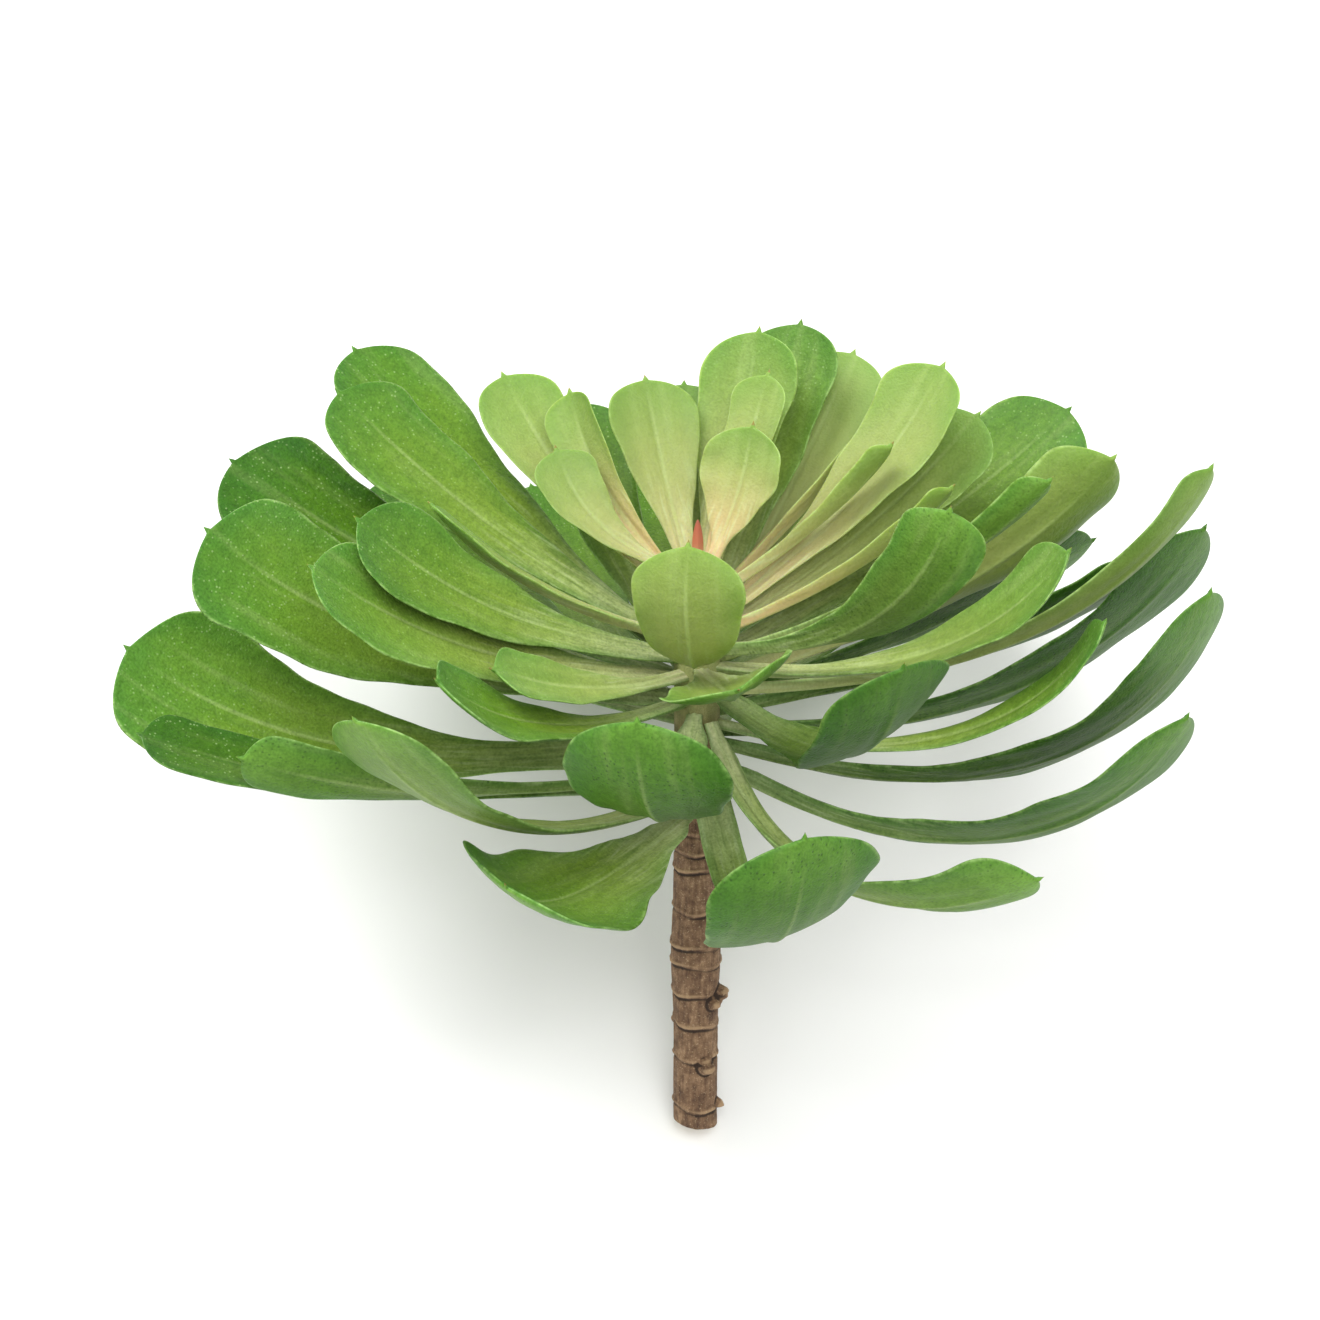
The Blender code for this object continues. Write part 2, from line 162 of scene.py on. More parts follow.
# Each leaf: how far its root is below the top of the stem, its direction round the stem
# at root and tip (0 is +X, 90 is +Y), how steeply it rises at root and tip, how far it is
# rolled about its own line at root and tip, its length and width, how hollow its upper
# face is, how late it bends, which share of it is stalk, and how long its rounded end
# is for its width.
Leaf = namedtuple(
    "Leaf",
    "drop turn_root turn_tip rise_root rise_tip roll_root roll_tip "
    "length width hollow lateness stalk end",
)
LEAVES = {
    "inner_back_1": (7, 144, 127, 28, 46, 10, 15, 56, 17, 0.15, 1.5, 0.05, 0.52),
    "inner_back_2": (2.5, 172, 122, 24, 54, 20, 20, 33, 12, 0.2, 1.5, 0.05, 0.52),
    "inner_back_3": (4.7, 145, 118, 36, 58, 50, 60, 42, 11, 0.5, 1.5, 0.05, 0.52),
    "inner_back_4": (4, 107, 104, 38, 50, 5, 0, 42, 17, 0.2, 1.5, 0.05, 0.52),
    "inner_back_5": (7, 76, 68, 36, 66, 0, 0, 54, 19, 0.15, 1.5, 0.05, 0.52),
    "inner_back_6": (3.3, 68, 50, 42, 70, 0, 0, 39.5, 12, 0.2, 1.5, 0.05, 0.5),
    "inner_back_7": (1, 50, 48, 53, 80, -5, -5, 25.5, 17.5, 0.2, 1.5, 0.05, 0.5),
    "inner_front_1": (13, 268, 258, -20, 112, 0, 0, 44, 20, 0.15, 1.0, 0.05, 0.52),
    "inner_left_1": (14, 182, 167, 16, 46, -10, -20, 50, 11, 0.2, 1.5, 0.1, 0.52),
    "inner_right_1": (8.3, 47, 38, 26, 36, 60, 50, 57, 11, 0.2, 1.5, 0.05, 0.52),
    "inner_right_2": (6, 22, 2, 26, 56, 40, 40, 41, 8, 0.4, 1.5, 0.05, 0.52),
    "inner_right_3": (11, 26, 23, 30, 62, -25, -25, 62, 18, 0.2, 1.5, 0.05, 0.5),
    "inner_right_4": (13, 8, -2, 20, 50, 35, 35, 49, 8, 0.3, 1.5, 0.05, 0.52),
    "middle_back_1": (23, 118, 108, 28, 44, 10, 10, 66, 18, 0.1, 1.5, 0.1, 0.52),
    "middle_back_2": (11, 96, 88, 28, 44, 10, 0, 54, 15, 0.2, 1.5, 0.05, 0.52),
    "middle_back_3": (14, 68, 66, 34, 60, 0, 0, 66, 19, 0.15, 1.5, 0.05, 0.52),
    "middle_back_4": (18, 62, 54, 32, 50, -10, -20, 69, 17, 0.15, 1.5, 0.1, 0.52),
    "middle_front_1": (20, 280, 273, 10, 27, 0, -22, 50, 24, 0.3, 1.5, 0.1, 0.52),
    "middle_front_2": (21, 229, 209, 5, 28, 30, 25, 44, 13, 0.2, 1.4, 0.15, 0.5),
    "middle_front_3": (24, 312, 288, -16, 74, -8, -18, 70, 29, 0.2, 1.4, 0.15, 0.5),
    "middle_left_1": (22, 206, 194, 11, 42, 35, 30, 74, 22, 0.15, 1.5, 0.1, 0.52),
    "middle_left_2": (18, 198, 186, 15, 47, 30, 30, 65, 22, 0.15, 1.5, 0.1, 0.5),
    "middle_left_3": (16, 160, 157, 24, 42, 20, 20, 78, 22, 0.1, 1.5, 0.1, 0.5),
    "middle_right_1": (15, 28, 22, 24, 48, -20, -30, 64, 19, 0.15, 1.5, 0.05, 0.52),
    "middle_right_2": (16, -30, -38, 10, 76, 40, 70, 61, 16, 0.2, 1.5, 0.1, 0.5),
    "middle_right_3": (18, 4, -6, 16, 50, 35, 45, 68, 10, 0.4, 1.5, 0.1, 0.5),
    "middle_right_4": (20, 34, 25, 17, 38, -20, -30, 86, 23, 0.1, 1.5, 0.15, 0.5),
    "middle_right_5": (23, 14, 8, 12, 50, 60, 70, 84, 20, 0.3, 1.5, 0.15, 0.52),
    "middle_right_6": (20, -16, -17, 0, 60, -5, -25, 72, 17, 0.2, 1.5, 0.15, 0.5),
    "outer_back_1": (29, 134, 130, 4, 34, 0, 0, 90, 26, 0.1, 1.5, 0.15, 0.52),
    "outer_back_2": (33, 112, 108, 0, 30, 6, 4, 96, 27, 0.1, 1.6, 0.2, 0.52),
    "outer_back_3": (27, 92, 90, 4, 36, 0, 0, 90, 26, 0.1, 1.5, 0.15, 0.52),
    "outer_back_4": (35, 74, 72, -2, 34, -4, -6, 98, 28, 0.1, 1.7, 0.2, 0.52),
    "outer_back_5": (31, 54, 50, 4, 34, -6, -8, 90, 26, 0.1, 1.5, 0.15, 0.52),
    "outer_back_6": (31, 158, 166, 6, 28, 6, 10, 88, 24, 0.1, 1.6, 0.2, 0.52),
    "outer_front_1": (26, 232, 214, 4, 46, 0, 20, 62, 20, 0.15, 2.0, 0.2, 0.45),
    "outer_front_2": (29, 263, 256, -18, 88, 0, 0, 73, 29, 0.15, 1.7, 0.15, 0.52),
    "outer_front_3": (31, 302, 350, -52, 29, 0, 46, 77, 22, 0.2, 1.0, 0.3, 0.5),
    "outer_front_4": (37, 283, 283, -44, 84, -5, -14, 89, 32, 0.15, 1.3, 0.3, 0.5),
    "outer_front_5": (49, 240, 226, -5, 58, 0, 8, 54, 38, 0.15, 5.0, 0.1, 0.22),
    "outer_left_1": (36, 184, 181, -4, 44, 35, 46, 104, 30, 0.1, 2.0, 0.25, 0.42),
    "outer_left_2": (43, 199, 186, 4, 25, 15, 20, 99, 15, 0.15, 2.2, 0.2, 0.5),
    "outer_left_3": (39.5, 208, 194, 1, 22, -30, -75, 83, 12, 0.15, 1.5, 0.2, 0.5),
    "outer_left_4": (45, 222, 210, -4, 61, 0, -22, 80, 24, 0.12, 1.3, 0.2, 0.45),
    "outer_left_5": (26, 186, 180, 8, 44, 35, 45, 91, 28, 0.1, 1.6, 0.15, 0.42),
    "outer_left_6": (22, 168, 159, 14, 32, 15, 25, 92, 27, 0.1, 1.5, 0.15, 0.45),
    "outer_left_7": (19, 150, 145, 28, 42, 10, 10, 86, 24, 0.1, 1.5, 0.1, 0.52),
    "outer_right_1": (27.3, 29, 20, 6, 26, 45, 50, 82, 19, 0.1, 1.5, 0.15, 0.52),
    "outer_right_2": (24.6, -3, 2, 4, 66, 36, 40, 102, 13, 0.2, 1.8, 0.15, 0.5),
    "outer_right_3": (29, 16, 13, 4, 28, 45, 45, 84, 21, 0.1, 1.5, 0.15, 0.52),
    "outer_right_4": (33, 12, 6, -5, 62, 42, 45, 103, 26, 0.1, 1.6, 0.15, 0.5),
    "outer_right_5": (31, -18, -20, -8, 66, -20, -20, 81, 10, 0.1, 1.5, 0.15, 0.5),
    "outer_right_6": (35, -6, -6, -14, 80, 42, 30, 105, 27, 0.1, 1.7, 0.15, 0.5),
    "outer_right_7": (39, -14, -18, -26, 66, 50, 22, 97, 27, 0.1, 1.4, 0.15, 0.7),
}

# How old a leaf looks, from 0, pale and young, to 1, deep green, how much of the young
# peach colour it keeps at its root, and how much painted shade darkens its green. A few
# leaves in shade are listed younger and paler than their ring, as painted light.
# What isn't listed has its ring's values.
RING_LOOKS = {"inner": (0.12, 0.5, 0.0), "middle": (0.75, 0.1, 0.0), "outer": (0.9, 0.0, 0.1)}
LEAF_LOOKS = {
    "inner_back_1": (0.25, 0.2, 0.0),
    "inner_back_2": (0.10, 0.1, 0.15),
    "inner_back_3": (0.15, 0.6, 0.0),
    "inner_back_4": (0.12, 0.15, 0.15),
    "inner_back_5": (0.40, 0.2, 0.0),
    "inner_back_6": (0.05, 0.6, 0.0),
    "inner_back_7": (0.08, 0.5, 0.0),
    "inner_front_1": (0.20, 0.0, 0.0),
    "inner_left_1": (0.45, 0.1, 0.0),
    "inner_right_1": (0.05, 0.4, 0.0),
    "inner_right_2": (0.20, 0.2, 0.0),
    "inner_right_3": (0.10, 0.3, 0.0),
    "middle_back_1": (0.85, 0.0, 0.3),
    "middle_back_2": (0.50, 0.0, 0.1),
    "middle_back_3": (0.72, 0.0, 0.1),
    # Painted light: younger and paler than its ring, to brighten a leaf in shade
    "middle_back_4": (0.05, 0.0, 0.0),
    "middle_front_1": (0.60, 0.0, 0.0),
    "middle_front_2": (0.50, 0.0, 0.0),
    "middle_front_3": (0.95, 0.0, 0.6),
    "middle_left_2": (0.85, 0.0, 0.15),
    "middle_left_3": (0.85, 0.0, 0.15),
    # Painted light: younger and paler than its ring, to brighten a leaf in shade
    "middle_right_1": (0.30, 0.0, 0.0),
    "middle_right_2": (0.80, 0.0, 0.1),
    "middle_right_4": (0.75, 0.0, 0.15),
    # Painted light: younger and paler than its ring, to brighten a leaf in shade
    "middle_right_5": (0.25, 0.0, 0.0),
    "middle_right_6": (0.60, 0.0, 0.0),
    "outer_front_2": (0.95, 0.0, 0.2),
    "outer_front_3": (0.80, 0.0, 0.0),
    "outer_front_4": (0.95, 0.0, 0.3),
    "outer_front_5": (0.85, 0.0, 0.1),
    "outer_left_1": (0.85, 0.0, 0.0),
    "outer_left_2": (0.95, 0.0, 0.5),
    "outer_left_3": (0.85, 0.0, 0.2),
    "outer_left_4": (0.70, 0.0, 0.0),
    "outer_left_6": (1.00, 0.0, 0.45),
    "outer_right_1": (1.00, 0.0, 0.4),
    # Painted light: younger and paler than its ring, to brighten a leaf in shade
    "outer_right_2": (0.45, 0.0, 0.0),
    "outer_right_3": (0.95, 0.0, 0.25),
    "outer_right_4": (1.00, 0.0, 0.5),
    "outer_right_5": (0.80, 0.0, 0.0),
    "outer_right_6": (0.95, 0.0, 0.3),
    "outer_right_7": (0.95, 0.0, 0.35),
}


def smooth(x):
    """The S curve 3x^2 - 2x^3, held at 0 below 0 and at 1 above 1."""
    x = np.clip(x, 0.0, 1.0)
    return x * x * (3.0 - 2.0 * x)


def bell(x, width):
    """A bell of height 1 at 0 that falls to 1/e at the given width."""
    return np.exp(-((x / width) ** 2))


def vectors(*parts):
    """Vectors from their parts, arrays or numbers that are all spread to one shape."""
    return np.stack(np.broadcast_arrays(*parts), -1)


def stem_radius(height):
    """Radius of the smooth stem: a slight swelling low down and a taper to the crown."""
    swelling = SWELLING * bell(height - SWELLING_HEIGHT, SWELLING_SPREAD)
    taper = smooth((height - STEM_LENGTH + CROWN_TAPER) / CROWN_TAPER)
    return STEM_RADIUS + swelling - (STEM_RADIUS - CROWN_RADIUS) * taper


def leaf_line(leaf, at):
    """The leaf's middle line at the given lengths along it, and the directions there.

    Turn, rise and roll run from their root values to their tip values along the line.
    The line is the running sum of its direction, straight on beyond both its ends.
    Returned are places, and directions to the leaf's side and off its upper face.
    """
    line = np.linspace(0.0, 1.0, LINE_STEPS + 1)
    turn = np.radians(leaf.turn_root + (leaf.turn_tip - leaf.turn_root) * smooth(line))
    rise = np.radians(leaf.rise_root + (leaf.rise_tip - leaf.rise_root) * line**leaf.lateness)
    roll = np.radians(leaf.roll_root + (leaf.roll_tip - leaf.roll_root) * smooth(line))
    ahead = vectors(np.cos(rise) * np.cos(turn), np.cos(rise) * np.sin(turn), np.sin(rise))
    across = vectors(np.sin(turn), -np.cos(turn), 0.0)
    above = np.cross(across, ahead)
    side = np.cos(roll)[:, None] * across + np.sin(roll)[:, None] * above
    face = np.cos(roll)[:, None] * above - np.sin(roll)[:, None] * across

    seat = STEM_LENGTH - leaf.drop
    reach = stem_radius(seat) + CLEARANCE + 0.5 * ROOT_THICKNESS * abs(np.sin(rise[0]))
    root = np.array([reach * np.cos(turn[0]), reach * np.sin(turn[0]), seat])
    steps = 0.5 * (ahead[1:] + ahead[:-1]) * leaf.length / LINE_STEPS
    middle = root + np.vstack([np.zeros(3), np.cumsum(steps, axis=0)])

    share = at / leaf.length
    middle, side, face, ahead = (
        vectors(*(np.interp(share, line, column) for column in part.T))
        for part in (middle, side, face, ahead)
    )
    beyond = at - np.clip(at, 0.0, leaf.length)
    return middle + beyond[:, None] * ahead, side, face


def leaf_outline(leaf, at):
    """Half the leaf's width: neck, stalk, blade, a blunt end and a small point.

    Neck, stalk and blade widen into each other in S curves. The blade's end is
    w (1 - t^a)^b, with t running from its widest place to its end. The point narrows
    with a power of what is left of its length.
    """
    share = np.clip(at / leaf.length, 0.0, 1.0)
    widest = 1.0 - leaf.end * leaf.width / leaf.length
    flare = smooth((share - leaf.stalk) / (widest + FLARE_OVERRUN - leaf.stalk))
    body = STALK_SHARE + (1.0 - STALK_SHARE) * flare
    past = np.clip((share - widest) / (1.0 - widest), 0.0, 1.0)
    full = 0.5 * leaf.width * body * (1.0 - past**END_ROUNDNESS) ** END_BLUNTNESS
    neck = smooth(at / NECK_LENGTH)
    half = full * neck + np.minimum(ROOT_HALF_WIDTH, full) * (1.0 - neck)
    to_end = (leaf.length + POINT_LENGTH - at) / (2.0 * POINT_LENGTH)
    point = POINT_HALF_WIDTH * np.clip(to_end, 0.0, 1.0) ** POINT_SHARPNESS
    return np.where(to_end < 1.0, np.maximum(half, point), half)


def margin_waves(leaf, at, phase):
    """How much wider the leaf is at its right and its left margin, as shares of half of it.

    A broad sine wave, lower on short leaves, plus a fine one for the small notches.
    """
    height = WAVE_HEIGHT * min(1.0, leaf.length / FULL_WAVE_FROM) ** 2
    margins = []
    for turn in (phase[0:2], phase[2:4]):
        broad = height * np.sin(FULL_TURN * at / (WAVE_LENGTH * leaf.length) + turn[0])
        margins.append(broad + NOTCH_HEIGHT * np.sin(at / NOTCH_LENGTH + turn[1]))
    return margins


def leaf_faces(at, share, half, edge, across, phase):
    """How far the upper and the under face stand off the leaf's hollow middle surface.

    Both stand off by half the thickness, which thins to the tip and to the edges, and
    close as sqrt(1 - |e|^n), with e from -1 at one edge to 1 at the other and n from 2,
    an ellipse, on the narrow stalk to 16 on the wide blade. Added are cosine ridges
    along the stalk, cosine folds along the blade, a bell-shaped groove over the midrib
    and a bell-shaped keel under it, which all fade at shares of the leaf's length.
    """
    fullness = 2.0 + 14.0 * smooth(half / 9.0)
    closing = np.sqrt(1.0 - np.abs(edge) ** fullness)
    thickness = ROOT_THICKNESS + (TIP_THICKNESS - ROOT_THICKNESS) * share
    thickness = 0.5 * thickness * (1.0 + (EDGE_SHARE - 1.0) * edge**2)
    body = np.minimum(thickness, 0.9 * half) * closing

    groove = GROOVE_DEPTH * bell(across, GROOVE_WIDTH)
    groove = groove * smooth(share / 0.2) * smooth((0.93 - share) / 0.25)
    keel = KEEL_HEIGHT * bell(across, KEEL_WIDTH) * smooth((1.0 - share) / 0.3)
    ridges = RIDGE_HEIGHT * np.cos(FULL_TURN * across / RIDGE_SPACING)
    ridges = ridges * smooth((0.62 - share) / 0.35)
    folds = 0.5 + 0.5 * np.sin(FULL_TURN * at / FOLD_LENGTH + phase[4])[:, None]
    folds = FOLD_HEIGHT * folds * np.cos(FULL_TURN * across / FOLD_SPACING + phase[5])
    folds = folds * smooth(share / 0.3) * smooth((1.0 - share) / 0.3)
    upper = body + closing * (ridges + folds - groove)
    under = -body + closing * (folds - keel - 0.7 * ridges)
    return upper, under


def leaf_surface(leaf, chance):
    """A leaf's points, rings by columns round, with what its skin needs to know.

    A ring runs over the upper face from one edge to the other and back underneath.
    Its middle surface rises as the square of the way to the edge, which makes the leaf
    hollow, and sways up and down along each margin with a sine of its own.
    """
    rows = leaf.length * (1.0 - (1.0 - np.linspace(0.0, 1.0, LEAF_ROWS)) ** ROW_CROWDING)
    before = np.array([-ROOT_DEPTH, -0.5 * ROOT_DEPTH])
    point = leaf.length + POINT_LENGTH * np.array([0.25, 0.5, 0.75, 1.0])
    at = np.concatenate([before, rows, point])
    middle, side, face = leaf_line(leaf, at)
    share = np.clip(at / leaf.length, 0.0, 1.0)[:, None]
    even = np.linspace(-1.0, 1.0, LEAF_COLUMNS + 1)
    edge = even - COLUMN_CROWDING * np.sin(FULL_TURN * even)

    phase = chance.uniform(0.0, FULL_TURN, 10)
    half = leaf_outline(leaf, at)[:, None]
    right, left = margin_waves(leaf, at, phase)
    margin = np.where(edge > 0.0, right[:, None], left[:, None])
    across = half * edge * (1.0 + margin * smooth(np.abs(edge) * 1.6))
    upper, under = leaf_faces(at, share, half, edge, across, phase)
    swaying = FULL_TURN * at / (SWAY_LENGTH * leaf.length)
    sway = np.where(
        edge > 0.0, np.sin(swaying + phase[6])[:, None], np.sin(swaying + phase[7])[:, None]
    )
    bend = leaf.hollow * half * edge**2 + SWAY_HEIGHT * half * edge**2 * sway * smooth(share / 0.4)

    def face_points(lift):
        """Points across a face: the middle line, plus the way to the side, plus the lift."""
        return (
            middle[:, None, :]
            + across[..., None] * side[:, None, :]
            + (bend + lift)[..., None] * face[:, None, :]
        )

    points = np.concatenate([face_points(upper), face_points(under)[:, -2:0:-1]], axis=1)
    sides = np.concatenate([edge, edge[-2:0:-1]])
    above = np.concatenate([np.ones(len(edge)), -np.ones(len(edge) - 2)])
    above[[0, len(edge) - 1]] = 0.0
    leaf_place = vectors(at[:, None] / leaf.length, sides, above)
    skin_place = vectors(at[:, None], half * sides, chance.uniform(0.0, 500.0))
    return points, leaf_place, skin_place


def bark_furrows(height, around, chance):
    """How far the furrowed bark stands out or in, less where the leaves stand.

    Four sine waves round the stem, lower the more turns they have, which drift
    sideways on their way down, and a low one that crosses them.
    """
    furrows = 0.0
    for turns in (5, 9, 14, 23):
        drift = 0.5 * np.sin(height / chance.uniform(5.0, 11.0) + chance.uniform(0.0, 6.28))
        furrows = furrows + np.sin(turns * around + 3.0 * drift + chance.uniform(0.0, 6.28)) / turns
    crossing = np.sin(height * 2.1 + 2.0 * np.sin(2.0 * around)) * np.sin(7.0 * around + height)
    furrows = furrows + 0.05 * crossing
    bare = smooth((BARE_HEIGHT - height) / BARE_FADE)
    return FURROW_DEPTH * furrows * (SHELTERED_SHARE + (1.0 - SHELTERED_SHARE) * bare)


def leaf_scars(height, around, chance):
    """How far old leaf scars stand out or in, and a mark, up to 1 on rims, -1 in cracks.

    Down the stem each scar is a bell for its rim and one for the crack under it. Round
    the stem both tilt, wander and vary in strength with sines.
    """
    relief = 0.0
    mark = 0.0
    for level in SCARS:
        tilt = chance.uniform(-0.5, 0.5)
        turn = chance.uniform(0.0, FULL_TURN)
        wander = 0.25 * np.sin(3.0 * around + turn) + tilt * np.sin(around + turn)
        strength = 0.75 + 0.25 * np.sin(around * 2.0 + turn)
        rim = bell(height - level - wander, RIM_WIDTH) * strength
        crack = bell(height - level - wander + CRACK_DROP, CRACK_WIDTH) * strength
        relief = relief + RIM_HEIGHT * rim - CRACK_DEPTH * crack
        mark = mark + rim - crack
    return relief, mark


def stem_stubs(height, around):
    """How far the stubs stand out, and a mark like the scars'.

    Each is a smooth hump over the distance from its middle, with a bell-shaped groove
    round its foot.
    """
    relief = 0.0
    mark = 0.0
    for level, direction, size in STUBS:
        apart = (around - np.radians(direction) + np.pi) % FULL_TURN - np.pi
        far = np.hypot(apart * STEM_RADIUS, height - level) / size
        hump = STUB_RISE * size * smooth(STUB_END - far) ** 1.2
        relief = relief + hump - FOOT_DEPTH * bell(far - STUB_END, FOOT_WIDTH)
        mark = mark + 0.8 * smooth((1.0 - far) * 2.0) - 0.9 * bell(far - 1.3, FOOT_WIDTH)
    return relief, mark


def stem_surface():
    """The stem's points, rings by columns, with what its bark needs to know.

    A turned cylinder with furrows, scars and stubs in its radius. Its lowest rings
    slant as the cut does, and the last ones close over the cut in shares of the radius.
    """
    chance = np.random.default_rng(BARK_SEED)
    around = np.linspace(0.0, FULL_TURN, BARK_COLUMNS, endpoint=False)
    height = np.linspace(BARK_TOP, 0.0, BARK_RINGS)[:, None]
    furrows = bark_furrows(height, around, chance)
    scars, scar_mark = leaf_scars(height, around, chance)
    stubs, stub_mark = stem_stubs(height, around)
    radius = stem_radius(height) + furrows + scars + stubs
    slope = np.tan(np.radians(CUT_ANGLE))
    x = radius * np.cos(around)
    y = radius * np.sin(around)
    z = height - slope * x * smooth((SLANT_REACH - height) / SLANT_REACH)
    points = vectors(x, y, z)
    mark = vectors(z, around * STEM_RADIUS, scar_mark + stub_mark)

    share = np.array([0.97, 0.9, 0.78, 0.6, 0.42, 0.25, 0.1])[:, None]
    x = share * points[-1, :, 0]
    y = share * points[-1, :, 1]
    z = -slope * x + SAW_HEIGHT * np.sin(around * SAW_MARKS) * share - CUT_SINK
    cap = vectors(x, y, z)
    cap_mark = np.broadcast_to(mark[-1] * np.array([1.0, 1.0, 0.0]), cap.shape)
    return (
        np.concatenate([points, cap]),
        np.concatenate([mark, cap_mark]),
        np.concatenate([np.zeros_like(points), vectors(x, y, 1.0)]),
    )


def bud_surface():
    """The growing point: a slim spindle of two leaf tips folded together.

    A turned profile whose radius dips on both sides where the two tips meet.
    """
    around = np.linspace(0.0, FULL_TURN, BUD_COLUMNS, endpoint=False)
    rise = np.linspace(0.0, 1.0, BUD_RINGS)[:, None]
    share = np.clip(BUD_START + (1.0 - BUD_START) * rise, 0.0, 1.0)
    swell = BUD_RADIUS * np.sin(np.pi * share**0.8) ** 0.6
    crease = (1.0 - BUD_CREASE) + BUD_CREASE * np.cos(2.0 * around) ** 2
    radius = np.maximum(swell, 0.02) * crease
    x = radius * np.cos(around)
    y = BUD_FLATNESS * radius * np.sin(around)
    z = STEM_LENGTH + CLEARANCE + BUD_HEIGHT * rise
    return vectors(x, y, z), vectors(rise, around, 0.0)


def closed_mesh(name, points, places):
    """A closed mesh from rings of points, with one more point to close each end.

    Places is a dict of vector attributes, each given like the points.
    """
    rings, columns = points.shape[:2]

    def with_poles(values):
        """The values in one list, with the first and the last ring's mean at its end."""
        return np.vstack([values.reshape(-1, 3), values[0].mean(0), values[-1].mean(0)])

    corner = np.arange(rings * columns).reshape(rings, columns)
    beside = np.roll(corner, -1, axis=1)
    quads = np.stack([corner[:-1], beside[:-1], beside[1:], corner[1:]], -1).reshape(-1, 4)
    pole = np.full(columns, rings * columns)
    start = np.stack([pole, beside[0], corner[0]], -1)
    finish = np.stack([pole + 1, corner[-1], beside[-1]], -1)

    # Faces point outwards when the volume they enclose is above zero
    verts = with_poles(points)
    tris = np.vstack([quads[:, [0, 1, 2]], quads[:, [0, 2, 3]], start, finish])
    a, b, c = (verts[tris[:, k]] for k in range(3))
    if np.einsum("ij,ij->i", a, np.cross(b, c)).sum() < 0.0:
        quads = quads[:, ::-1]
        start = start[:, ::-1]
        finish = finish[:, ::-1]

    mesh = bpy.data.meshes.new(name)
    mesh.from_pydata(verts, [], quads.tolist() + start.tolist() + finish.tolist())
    mesh.shade_smooth()
    for key, values in places.items():
        layer = mesh.attributes.new(key, "FLOAT_VECTOR", "POINT")
        layer.data.foreach_set("vector", with_poles(values).astype(np.float32).ravel())
    return mesh


def triangles_of(mesh):
    """The corners of a mesh's triangles."""
    mesh.calc_loop_triangles()
    verts = np.empty(len(mesh.vertices) * 3)
    mesh.vertices.foreach_get("co", verts)
    corners = np.empty(len(mesh.loop_triangles) * 3, int)
    mesh.loop_triangles.foreach_get("vertices", corners)
    return verts.reshape(-1, 3)[corners].reshape(-1, 3, 3)


def middle_of(mesh):
    """The middle of a mesh's surface: its triangles' middles, each weighed by its area."""
    corners = triangles_of(mesh)
    first = corners[:, 1] - corners[:, 0]
    second = corners[:, 2] - corners[:, 0]
    area = np.linalg.norm(np.cross(first, second), axis=1)
    return (corners.mean(1) * area[:, None]).sum(0) / area.sum()


def lying_down(meshes):
    """The turn and shift that take the upright plant to where its solids lie.

    The best fit of all the leaves' middles on the middles of their solids: with the
    products of both sets of middles split into U S V, the turn is V' U'.
    """
    upright = np.array([middle_of(mesh) for mesh in meshes.values()]) * MM
    lying = np.array([middle_of(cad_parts[name].data) for name in meshes])
    left, _, right = np.linalg.svd((upright - upright.mean(0)).T @ (lying - lying.mean(0)))
    turn = right.T @ left.T
    shift = lying.mean(0) - turn @ upright.mean(0)
    return Matrix.Translation(Vector(shift)) @ Matrix(turn).to_4x4()


def linear(colour):
    """An sRGB hex colour as linear red, green, blue and alpha.

    A part c is c / 12.92 up to 0.04045, and ((c + 0.055) / 1.055)^2.4 above it.
    """
    parts = [int(colour[i : i + 2], 16) / 255.0 for i in (1, 3, 5)]
    return [p / 12.92 if p <= 0.04045 else ((p + 0.055) / 1.055) ** 2.4 for p in parts] + [1.0]


# Settings that many nodes share
ADD = {"operation": "ADD"}
MULTIPLY = {"operation": "MULTIPLY"}
MULTIPLY_ADD = {"operation": "MULTIPLY_ADD"}
STEP = {"interpolation_type": "SMOOTHSTEP"}
BLEND = {"data_type": "RGBA", "out": 2}
TINT = {"data_type": "RGBA", "blend_type": "MULTIPLY", "out": 2}


def add(tree, kind, inputs=(), out=0, ramp=None, **settings):
    """Add a node with its settings, its inputs' values or links, and its colour stops.

    Inputs are in order, or by place or name in a dict. Returned is one output.
    """
    node = tree.nodes.new("ShaderNode" + kind)
    for name, value in settings.items():
        setattr(node, name, value)
    inputs = inputs if isinstance(inputs, dict) else dict(enumerate(inputs))
    for key, value in inputs.items():
        if isinstance(value, bpy.types.NodeSocket):
            tree.links.new(value, node.inputs[key])
        else:
            node.inputs[key].default_value = value
    if ramp:
        stops = node.color_ramp.elements
        while len(stops) < len(ramp):
            stops.new(1.0)
        for stop, (place, colour) in zip(stops, ramp):
            stop.position = place
            stop.color = linear(colour)
    return node.outputs[out]


def new_material(name, **settings):
    """A material with its Principled shader, whose even settings are given by name."""
    made = bpy.data.materials.new(name)
    made.use_nodes = True
    shader = made.node_tree.nodes["Principled BSDF"]
    for key, value in settings.items():
        shader.inputs[key.replace("_", " ")].default_value = value
    return made, made.node_tree, shader


# Patterns on a leaf's skin, as repeats to a millimetre, some of them along, across and
# between leaves: clouds 9 mm wide, mottling 2 mm, grain 0.5 mm, bands 3 mm and streaks
# 0.8 mm wide, drawn out along the leaf, pores 1.3 mm by 1 mm apart and bumps 1 mm apart
CLOUDS_PER_MM = 0.11
MOTTLES_PER_MM = 0.5
GRAINS_PER_MM = 2.0
BANDS_PER_MM = (0.03, 0.33, 1.0)
STREAKS_PER_MM = (0.12, 1.3, 1.0)
PORES_PER_MM = (0.80, 1.05, 1.0)
BUMPS_PER_MM = 1.0
